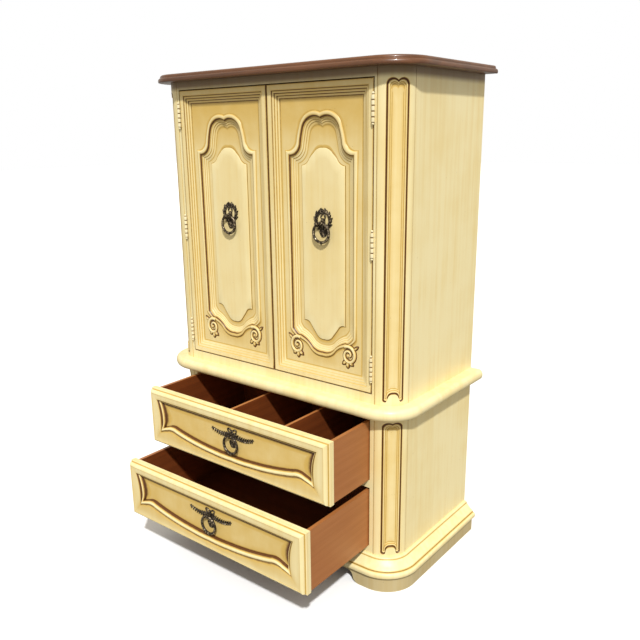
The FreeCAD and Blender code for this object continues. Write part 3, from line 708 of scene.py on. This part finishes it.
def door_frame(name, box):
    """Four mitred members as one stepped section carried round the door.

    The section is (inset, depth, tone) steps.  Its first steps face the gap round the door and are
    darkened all the way, glaze with painted shade; the glaze of the others is scaled by painted
    shade, strongest at the head and faintest at the foot, and the front edge along the foot is dark.
    """
    low, high = box
    edge_steps, reach = 5, 20.0
    section = [
        (0, DOOR_THICKNESS, 0), (0, 10, 0.1), (0, 2.6, 1), (0.8, 1.0, 0.85), (2.4, 0, 0.5),
        (4.2, 0, 0.14), (15, 0, 0.12), (18.4, 0, 0.2), (19.0, 0.6, 0.9), (20.2, 2.4, 0.8),
        (21.4, 2.9, 0.2), (25.4, 3.4, 0.1), (26.8, 4.2, 0.7), (28, 5.9, 0.7), (29.2, 6.4, 0.2),
        (33.4, 7.4, 0.1), (34.6, 8.4, 0.65), (35.8, 10, 0.65), (37, 10.5, 0.15), (41.0, 11.3, 0.12),
        (42.6, 12.2, 0.6), (44, FIELD_DEPTH, 0.75), (FIELD_MARGIN, FIELD_DEPTH, 0),
        (FIELD_MARGIN, DOOR_THICKNESS, 0),
    ]
    rings = []
    for inset, depth, _ in section:
        x0, x1, z0, z1 = low[0] + inset, high[0] - inset, low[2] + inset, high[2] - inset
        stops = [
            (x0, z0), (x1, z0), (x1, z0 + reach), (x1, z1 - reach),
            (x1, z1), (x0, z1), (x0, z1 - reach), (x0, z0 + reach),
        ]
        rings.append(np.array([(x, low[1] + depth, z) for x, z in stops]))
    verts = np.concatenate(rings)
    faces = grid_faces(len(rings), len(stops), wrap_rows=True, wrap_columns=True)
    # painted shade: the members' tones are scaled, heaviest at the head and faintest at the foot, as
    # light falls from above
    share = (0.35, 0.35, 0.6, 0.9, 1.5, 1.5, 0.9, 0.6)
    marks = np.array([step[2] for step in section])
    tone = np.outer(marks, share)
    # the steps that face the gap keep their full tone: glaze with painted shade
    tone[:edge_steps] = marks[:edge_steps, None]
    # painted shadow: the front edge along the foot is darkened for the shade in the gap below the
    # door
    tone[edge_steps - 1, :2] = 1
    tone = np.clip(tone, 0, 1).ravel()
    add_piece(
        name + "_frame_moulded", name, (verts, faces, tone), "cream_paint", (name + "_frame",)
    )


def door_field(name, box):
    """The sunk field with its bead, glazed groove and stepped cove, and the raised panel.

    Below the shaped opening the bead is browner and the lines of the cove are fainter.  Towards the
    head the field is darkened with painted shade.
    """
    low, high = box
    middle = (low[0] + high[0]) / 2

    def place(loop, depth):
        return np.stack([middle + loop[:, 0], low[1] + depth, low[2] + loop[:, 1]], 1)

    def inner_edge(inset):
        return box_outline(opening, half - inset, FIELD_MARGIN + inset, top - inset)

    bead, opening, field, raised = door_outlines()
    half, top = (high[0] - low[0]) / 2 - FIELD_MARGIN, high[2] - low[2] - FIELD_MARGIN
    edge = inner_edge(0)
    rear, wash = 25.6, 0.13
    under = np.clip(1 - (opening[:, 1] - 100) / 90, 0, 1)
    levels = [
        (edge, 26, 0), (edge, FIELD_DEPTH, 0.3), (inner_edge(19.6), FIELD_DEPTH, 0.4),
        (inner_edge(23), FIELD_DEPTH, wash),
        (between(edge, bead, 0.93), FIELD_DEPTH, wash + 0.1 * under),
        (bead, FIELD_DEPTH, 0.42 + 0.45 * under),
    ]
    levels += levels_between(bead, opening, [
        (0.10, 11.2, 0.15 + 0.65 * under), (0.24, 9.7, 0.02 + 0.3 * under),
        (0.5, 9.2, 0.14 * under), (0.72, 9.7, 0.05 + 0.25 * under), (0.84, 10.6, 0.6),
        (1, 12.2, 1),
    ])
    levels += levels_between(opening, field, [
        (0.03, 14.8, 1), (0.06, 16.0, 0.55), (0.10, 16.8, 0.15), (0.14, 17.2, 0.55 - 0.2 * under),
        (0.19, 17.4, 0.12), (0.35, 18.8, 0.04), (0.39, 20.4, 0.6 - 0.35 * under), (0.45, 20.8, 0.1),
        (0.62, 21.8, 0.04), (0.66, 23.2, 0.6 - 0.35 * under), (0.72, 23.6, 0.1), (0.90, 24.6, 0.1),
        (1, rear, 0.5),
    ])
    levels += levels_between(field, raised, [
        (0.10, rear, 0.16), (0.86, rear, 0.12 + 0.2 * under), (1, rear, 0.5 + 0.5 * under),
    ])
    verts, faces, tone = relief(levels, place)
    # painted shade: the field grows darker towards its head, under the top rail and the top board
    head = np.clip((verts[:, 2] - low[2] - 700) / 160, 0, 1)
    tone = np.clip(tone + 0.16 * head, 0, 1)
    add_piece(
        name + "_field_carved", name, (verts, faces, tone), "cream_paint", (name + "_field",)
    )

    centre = np.array([0, 436.0])
    rise = [
        (0, rear + 0.1, 1), (0, 25.2, 0.95), (1.0, 24.4, 0.45), (2.2, 23.3, 0),
        (3.4, PANEL_DEPTH, 0), (30, PANEL_DEPTH, 0.1),
    ]
    levels = []
    for inset, depth, tone in rise:
        loop = centre + (raised - centre) * (1 - inset / 84, 1 - inset / 300)
        levels.append((loop, depth, tone))
    add_piece(
        name + "_panel_raised", name, relief(levels, place), "cream_paint",
        (name + "_raised_panel",),
    )


def scroll(centre, hand, y):
    """A C-scroll that winds in to a bead, with leaves below it and one that runs up from it.

    The spiral's radius falls with its angle as a power of 0.8, and its thickness falls evenly.
    """
    turn = np.linspace(0, 1, 46)
    angle = radians(118) - turn * radians(520)
    radius = 26 * (1 - turn) ** 0.8 + 4.5
    x = centre[0] + hand * radius * np.cos(angle) * 0.92
    z = centre[1] + radius * np.sin(angle)
    path = np.stack([x, np.full(len(turn), y - 0.6), z], 1)
    thick = 6.0 * (1 - turn * 0.5)
    parts = [tube(path, thick, 12), dome((centre[0], y, centre[1]), 13, 13, 6.4)]
    ground = [tube(path + (0, 0.5, 0), thick + 3.0, 10, flat=0.12)]
    leaves = (
        (0, -31, 14, 24, pi), (-12, -25, 12, 23, -0.9), (12, -25, 12, 23, 0.9),
        (0, -17, 10, 10, 0.0), (30, 26, 8, 26, -0.9),
    )
    for across, up, wide, tall, tilt in leaves:
        place = (centre[0] + hand * (across - 3), y, centre[1] + up)
        parts.append(dome(place, wide, tall, 5.4, hand * tilt, 0.5))
        ground.append(dome(place, wide + 6, tall + 6, 0.7, hand * tilt, 0.4))
    verts, faces, tone = merge(*parts)
    tone = np.clip(1.1 - 1.1 * tone, 0.03, 1)
    base, base_faces, _ = merge(*ground)
    return merge((verts, faces, tone), (base, base_faces, np.full(len(base), 0.95)))


def door_scrolls(name, box):
    """The pair of carved scrolls under the foot of the shaped opening."""
    low, high = box
    across, up = 104, 104
    middle, y = (low[0] + high[0]) / 2, low[1] + FIELD_DEPTH
    pair = [scroll((middle + hand * across, low[2] + up), hand, y) for hand in (-1, 1)]
    add_piece(
        name + "_scrolls_carved", name, merge(*pair), "cream_paint", (name + "_scrolls",), sharp=60
    )


# ---- hinges ----

HINGE_HEIGHT = 76.0
HINGE_INSET = 82.0
BARREL = 5.0
LEAF = 0.88
LEAF_DEPTH = 25.0
KNUCKLES = 5
KNUCKLE_GAP = 0.6
STILE_GAP = 2.0
STRIKE_INNER, STRIKE_OUTER = 8.0, 32.0
STRIKE_LOW, STRIKE_HIGH = 18.0, 4.0
STRIKE_THICKNESS = 1.5


def lathe(x, y, stops, sides=16):
    """A piece turned about an upright axis, from (radius, height, tone) stops."""
    angle = np.arange(sides) * 2 * pi / sides
    rings = [
        np.stack([x + r * np.cos(angle), y + r * np.sin(angle), np.full(sides, z)], 1)
        for r, z, _ in stops
    ]
    verts, faces = loft(rings)
    return verts, faces, np.repeat([stop[2] for stop in stops], sides)


def plate(x_range, y_range, z_range, ease=0.2, tone=0.0):
    """A thin metal plate whose upper and lower ends are eased."""
    (x0, x1), (y0, y1), (z0, z1) = sorted(x_range), sorted(y_range), sorted(z_range)
    rings = [
        np.array([
            (x0 + e, y0 + e, z), (x1 - e, y0 + e, z), (x1 - e, y1 - e, z), (x0 + e, y1 - e, z)
        ])
        for e, z in ((ease, z0), (0, z0 + ease), (0, z1 - ease), (ease, z1))
    ]
    verts, faces = loft(rings)
    return verts, faces, np.full(len(verts), tone)


def hinge_parts(side, edge, leaf_edge, box, which):
    """Every other knuckle of the three hinges of a door, each with its share of the leaf."""
    low, high = box
    barrel_low, barrel_high = corners("hinge_frame_leaves")
    x, y = side * (barrel_high[0] - BARREL), barrel_low[1] + BARREL
    parts = []
    for middle in (low[2] + HINGE_INSET, (low[2] + high[2]) / 2, high[2] - HINGE_INSET):
        tall = HINGE_HEIGHT / KNUCKLES
        for number in range(which, KNUCKLES, 2):
            z0 = middle - HINGE_HEIGHT / 2 + number * tall + KNUCKLE_GAP / 2
            z1 = z0 + tall - KNUCKLE_GAP
            stops = [
                (BARREL - 1.4, z0, 1), (BARREL - 1.1, z0 + 0.7, 1), (BARREL - 0.1, z0 + 1.7, 0.15),
                (BARREL, z0 + 2.6, 0), (BARREL, z1 - 2.6, 0), (BARREL - 0.1, z1 - 1.7, 0.15),
                (BARREL - 1.1, z1 - 0.7, 1), (BARREL - 1.4, z1, 1),
            ]
            parts.append(lathe(x, y, stops))
            parts.append(plate((edge, leaf_edge), (y, FRONT_Y + LEAF_DEPTH), (z0, z1)))
    return parts


def build_hinges(boxes):
    """The frame's knuckles and leaves, and each door's, with the strike plate behind it."""
    fixed = []
    for side, name in ((-1, "door_left"), (1, "door_right")):
        box = boxes[name]
        edge = box[1][0] if side > 0 else box[0][0]
        stile = edge + side * STILE_GAP
        fixed += hinge_parts(side, stile, stile - side * LEAF, box, 0)
        parts = hinge_parts(side, edge, edge + side * LEAF, box, 1)
        _, rear, head = box[1]
        strike = plate(
            (side * STRIKE_INNER, side * STRIKE_OUTER), (rear, rear + STRIKE_THICKNESS),
            (head - STRIKE_LOW, head - STRIKE_HIGH), 0.4, 0.1,
        )
        parts.append(strike)
        add_piece(
            name + "_hinge_leaves", name, merge(*parts), "hinge_metal", (name + "_fittings",),
            sharp=40,
        )
    add_piece(
        "hinge_barrels_turned", "root", merge(*fixed), "hinge_metal", ("hinge_frame_leaves",),
        sharp=40,
    )


# ---- drawers ----

def drawer_front(name):
    """Lipped front: rounded frame, bowed ends, serpentine moulding and sunk field.

    The profile is shallow and pale along the foot, and steep at the head and the ends, where it is
    glazed and darkened with painted shade.
    """
    low, high = corners(name + "_front")
    face = corners(name + "_front_frame")[0][1]
    half, tall = high[0], high[2] - low[2]
    head, thick = tall - 36, high[1] - face
    core = low[1] - face

    def place(loop, depth):
        return np.stack([loop[:, 0], face + depth, low[2] + loop[:, 1]], 1)

    recess = outline(
        (0, head), (180, head, 358, head, 14), (344, 115, 350, 50, 14),
        (340, 54, 318, 60, 6), (294, 65, 266, 60, 8), (170, 43, 86, 36, 14), (40, 33.5, 0, 34, 6),
    )
    field = outline(
        (0, head - 10), (172, head - 10, 345, head - 10, 14), (332, 120, 337, 70, 14),
        (328, 74, 312, 80, 6), (290, 86, 264, 82, 8), (170, 65, 86, 57, 14), (40, 54.5, 0, 55, 6),
    )
    # painted shade: foot is 1 along the foot and 0 at the head and the ends, which take heavier tone
    on_side = (np.abs(recess[:, 0]) > 343) * np.clip((recess[:, 1] - 50) / 30, 0, 1)
    foot = np.where(recess[:, 1] < head - 1, 1 - on_side, 0)
    rim = [
        (0, thick, 0), (0, core + 9, 0), (0.8, core + 8.2, 0.35), (0, core + 7.4, 0),
        (0, core + 1.4, 0.1), (1, core + 0.2, 0), (3.4, core, 0.1), (4.6, core, 0.6),
        (5, core - 2.4, 0.4), (5.2, core - 6, 0.03), (6.4, 5.0, 0), (8.6, 2.2, 0), (11.6, 0.6, 0),
        (14.5, 0, 0.05), (15.6, 0.9, 0.32), (16.8, 1.0, 0.1),
    ]
    levels = [
        (box_outline(recess, half - inset, inset, tall - inset), depth, tone)
        for inset, depth, tone in rim
    ]
    levels += levels_between(levels[-1][0], recess, [
        (0.4, 1.2, 0.05 + 0.13 * foot), (0.86, 1.4, 0.12 + 0.12 * foot),
        (0.95, 2.0, 0.7 - 0.3 * foot), (1, 3.6, 1 - 0.3 * foot),
    ])
    levels += levels_between(recess, field, [
        (0.14, 6.4 - 1.4 * foot, 1 - 0.25 * foot), (0.22, 7.0 - 3.2 * foot, 0.8 - 0.5 * foot),
        (0.30, 6.2 - 5.0 * foot, 0.8 - 0.76 * foot), (0.40, 6.0 - 5.8 * foot, 0.25 - 0.25 * foot),
        (0.58, 7.0 - 6.4 * foot, 0), (0.70, 9.4 - 7.6 * foot, 0.06 + 0.3 * (1 - foot)),
        (0.82, 12 - 8.0 * foot, 0.8 - 0.4 * foot), (0.92, 14 - 6.0 * foot, 1), (1, core, 1),
    ])
    centre = np.array([0, (head + 60) / 2])
    # painted shade: the field's outer rings are darker at the head and the ends (shaded)
    for shrink, mark, shaded in (
        ((0.988, 0.955), 0.60, 0.4), ((0.976, 0.91), 0.28, 0.5), ((0.95, 0.82), 0.25, 0.16),
        ((0.90, 0.55), 0.23, 0.0),
    ):
        levels.append((centre + (field - centre) * shrink, core, mark + shaded * (1 - foot)))
    add_piece(
        name + "_front_moulded", name, relief(levels, place), "cream_paint",
        (name + "_front", name + "_front_frame"),
    )


# ---- pulls ----

EYE_RADIUS, EYE_WIRE = 6.6, 1.75
ROSETTE, ROSETTE_BOSS = 31, 10
PETALS, PETAL_RING = 8, 9.0
WREATH_RADIUS, WREATH_LEAVES = 28, 22
SPRAY_START, SPRAY_LENGTH, SPRAY_LEAVES = 6, 86, 9


def pull_ring(name, node, body):
    """A ring with a waist between its beads, and a small drop at the foot.

    Its thickness grows from the eye down, with four collars as narrow bell curves of the angle.
    """
    low, high = corners(node)
    x, y = (low[0] + high[0]) / 2, (low[1] + high[1]) / 2
    wire = (high[1] - low[1]) / 2
    radius = (high[0] - low[0]) / 2 - wire
    z = high[2] - radius - wire
    angle = np.linspace(0, 2 * pi, 96, endpoint=False) + pi / 2
    level = np.full(len(angle), y)
    path = np.stack([x + radius * np.cos(angle), level, z + radius * np.sin(angle)], 1)
    away = np.abs((angle - pi / 2 + pi) % (2 * pi) - pi)
    swell = 0.86 + 0.14 * np.clip(away / pi * 1.6, 0, 1)
    collars = sum(0.14 * np.exp(-((away - spot) / 0.06) ** 2) for spot in (0.62, 0.80, 2.55, 2.75))
    hoop = tube(path, wire * np.minimum(swell + collars, 1.0), 14, closed=True)
    fall = np.array([0, 1.2, 2.6, 4, 5.0]) + radius + wire - 1
    drop = tube(
        np.stack([np.full(5, x), np.full(5, y), z - fall], 1), [2.2, 2.9, 2.5, 1.5, 0.5], 10
    )
    add_piece(name, body, merge(hoop, drop), "antique_bronze", (node,), sharp=50)
    return x, y, z + radius, radius


def eye_and_boss(x, ring_y, z, face, drop):
    """The loop that the ring hangs in, its neck, and the rosette behind the ring."""
    angle = np.linspace(0, 2 * pi, 24, endpoint=False)
    across = np.full(len(angle), x)
    loop = np.stack([across, ring_y + EYE_RADIUS * np.cos(angle), z + EYE_RADIUS * np.sin(angle)], 1)
    parts = [tube(loop, EYE_WIRE, 8, closed=True, normal=(1, 0, 0))]
    run = np.linspace(ring_y + 7.0, face + 0.4, 4)
    neck = np.stack([np.full(4, x), run, np.full(4, z)], 1)
    parts.append(tube(neck, [1.6, 1.9, 3.0, 4.6], 10, normal=(0, 0, 1)))
    centre = (x, face, z - drop)
    parts.append(dome(centre, ROSETTE, ROSETTE, 1.6, rings=6, sides=24))
    parts.append(dome(centre, ROSETTE_BOSS, ROSETTE_BOSS, 3.6, sides=16))
    for turn in np.arange(PETALS) * 2 * pi / PETALS:
        out, up = PETAL_RING * np.sin(turn), PETAL_RING * np.cos(turn)
        parts.append(dome((x - out, face - 0.9, z - drop + up), 6.4, 10.5, 2.2, turn, 0.5))
    return parts


def strap(x, y, low, high, wide):
    """The flat upright bar that joins a plate's rosette to its top."""
    return tube(np.array([(x, y, low), (x, y, high)], float), wide, 12, flat=0.2)


def door_pull(name, box):
    """An upright wreath of leaves and berries tied with a bow, and its ring."""
    x, ring_y, z, drop = pull_ring(name + "_ring_cast", name + "_pull_ring", name + "_ring")
    face = box[0][1] + PANEL_DEPTH
    middle = z + 8

    def on_wreath(angle, radius, depth):
        return x + radius * np.sin(angle), face - depth, middle + radius * np.cos(angle)

    turn = np.linspace(0, 2 * pi, 48, endpoint=False)
    across, level, up = on_wreath(turn, WREATH_RADIUS, 1.2)
    stem = np.stack([across, np.full(len(turn), level), up], 1)
    parts = [tube(stem, 3.2, 8, closed=True, flat=0.8)]
    parts += eye_and_boss(x, ring_y, z, face, drop)
    for number, angle in enumerate(np.linspace(0, 2 * pi, WREATH_LEAVES, endpoint=False)):
        lean = 0.75 if np.sin(angle) >= 0 else -0.75
        leaf = on_wreath(angle, 33.0 if number % 2 else 30.0, 1.0)
        parts.append(dome(leaf, 6.6, 13.5, 4.2, -angle + lean, 0.6))
        parts.append(dome(on_wreath(angle, 23.5, 0.8), 5.2, 9.5, 3.4, -angle - lean, 0.6))
        if number % 2:
            parts.append(dome(on_wreath(angle, 27.5, 2.6), 5.2, 5.2, 3.2, sides=8))
    for hand in (-1, 1):
        parts.append(dome((x + hand * 9, face - 1.0, middle + 24), 8, 16, 3.6, hand * 0.9, 0.4))
        parts.append(dome((x + hand * 7, face - 0.8, middle + 13), 6, 17, 3.0, hand * 0.35, 0.5))
    parts.append(dome((x, face - 1.5, middle + 20), 8, 8, 4.4))
    parts.append(strap(x, face - 0.7, z - 44, z + 14, 9.0))
    add_piece(
        name + "_wreath_plate", name, merge(*parts), "antique_bronze", (name + "_pull_plate",),
        sharp=50,
    )


def drawer_pull(name):
    """A bow and rosette with a leafy spray to each side, and its ring.

    A spray's stem sags as half a sine wave and rises evenly towards its tip.
    """
    x, ring_y, z, drop = pull_ring(name + "_ring_cast", name + "_pull_ring", name + "_ring")
    face = corners(name + "_front")[0][1]
    parts = eye_and_boss(x, ring_y, z, face, drop)
    parts.append(strap(x, face - 0.7, z - 42, z + 8, 10.0))

    def on_spray(hand, share):
        across = x + hand * (SPRAY_START + SPRAY_LENGTH * share)
        return across, z + 1 - 7 * np.sin(share * pi) + 4 * share

    share = np.linspace(0, 1, 20)
    curl = np.linspace(0, 2 * pi, 22, endpoint=False)
    for hand in (-1, 1):
        across, up = on_spray(hand, share)
        stem = np.stack([across, np.full(len(share), face - 1.0), up], 1)
        parts.append(tube(stem, 2.4 - 1.2 * share, 8, flat=0.8))
        for number in range(SPRAY_LEAVES):
            along = (number + 0.6) / (SPRAY_LEAVES + 0.2)
            across, up = on_spray(hand, along)
            size = 1.0 - 0.35 * along
            for rise, tilt in ((-5.4, -2.25), (5.4, -0.85)):
                leaf = (across + hand * 3 * size, face - 1.2, up + rise * size)
                parts.append(dome(leaf, 6.4 * size, 14.5 * size, 3.6, hand * tilt, 0.6))
            if number % 2 == 0:
                parts.append(dome((across, face - 2.4, up), 5.0, 5.0, 3.0, sides=8))
        parts.append(dome((x + hand * 92, face - 1.0, z + 5), 6, 10, 3.0, -hand * 1.4, 0.5))
        loop = np.stack([
            x + hand * (11 + 8.5 * np.cos(curl)), np.full(len(curl), face - 1.6),
            z + 15 + 6.5 * np.sin(curl) + 3 * np.cos(curl),
        ], 1)
        parts.append(tube(loop, 2.5, 8, closed=True, flat=0.9))
        parts.append(dome((x + hand * 15, face - 1.0, z + 5), 6, 15, 3.2, hand * 1.0, 0.5))
    parts.append(dome((x, face - 2.0, z + 14), 9, 11, 4.6))
    add_piece(
        name + "_spray_plate", name, merge(*parts), "antique_bronze", (name + "_pull_plate",),
        sharp=50,
    )


# ---- stage ----

FILL_LIGHT = 0.66
KEY_LIGHT = 3.5
KEY_WIDTH = radians(3)
KEY_WAY = (-0.60, 0.68, -1.0)
FLOOR_HALF = 30.0
CAMERA_PLACE = (1.5407, -2.2036, 1.4450)
HEADING, PITCH, ROLL = radians(38.47), radians(15.82), radians(-0.77)


def build_stage():
    """A pale floor, soft light all round, a key light from the front right, and the camera.

    The camera sees the world and the floor nearly white; other rays see them darker, and the
    world a little warm.
    """
    floor_material, tree = new_tree("studio_floor")
    shade = noise(tree, place_of(tree), 0.6)
    seen = add(tree, "LightPath").outputs["Is Camera Ray"]
    pale = blend(tree, shade, (0.95, 0.95, 0.94, 1), (0.97, 0.97, 0.97, 1))
    color = blend(tree, seen, (0.22, 0.22, 0.21, 1), pale)
    finish_shader(tree, color, 0.8, shade, 0.0)
    mesh = bpy.data.meshes.new("studio_floor")
    points = [(FLOOR_HALF * x, FLOOR_HALF * y, 0) for x, y in ((-1, -1), (1, -1), (1, 1), (-1, 1))]
    mesh.from_pydata(points, [], [(0, 1, 2, 3)])
    mesh.materials.append(floor_material)
    floor = bpy.data.objects.new("studio_floor", mesh)
    bpy.context.scene.collection.objects.link(floor)

    world = bpy.data.worlds.new("studio")
    world.use_nodes = True
    tree = world.node_tree
    seen = add(tree, "LightPath").outputs["Is Camera Ray"]
    strength = add(tree, "Mix", _0=seen, _2=FILL_LIGHT, _3=1.0).outputs[0]
    tree.links.new(strength, tree.nodes["Background"].inputs[1])
    color = blend(tree, seen, (1, 0.955, 0.87, 1), (1, 1, 1, 1))
    tree.links.new(color, tree.nodes["Background"].inputs[0])
    bpy.context.scene.world = world
    bpy.context.scene.view_settings.view_transform = "Standard"

    key = bpy.data.lights.new("key", "SUN")
    key.energy = KEY_LIGHT
    key.angle = KEY_WIDTH
    lamp = bpy.data.objects.new("key", key)
    lamp.rotation_euler = Vector(KEY_WAY).to_track_quat("-Z", "Y").to_euler()
    bpy.context.scene.collection.objects.link(lamp)

    lens = bpy.data.cameras.new("camera")
    lens.sensor_width = 36.0
    lens.lens = 39.57
    lens.shift_x = 0.0043
    lens.shift_y = 0.0213
    lens.clip_end = 100
    camera = bpy.data.objects.new("camera", lens)
    turn = (
        Matrix.Rotation(HEADING, 4, "Z")
        @ Matrix.Rotation(pi / 2 - PITCH, 4, "X")
        @ Matrix.Rotation(ROLL, 4, "Z")
    )
    camera.matrix_world = Matrix.Translation(CAMERA_PLACE) @ turn
    bpy.context.scene.collection.objects.link(camera)
    bpy.context.scene.camera = camera


finish_frame()
build_top()
build_waist()
build_base_moulding()
build_posts()
for door in ("door_left", "door_right"):
    door_box = corners(door + "_frame")
    door_frame(door, door_box)
    door_field(door, door_box)
    door_scrolls(door, door_box)
    door_pull(door, door_box)
build_hinges({door: corners(door + "_frame") for door in ("door_left", "door_right")})
for drawer in ("lower_drawer", "upper_drawer"):
    drawer_front(drawer)
    drawer_pull(drawer)
build_stage()
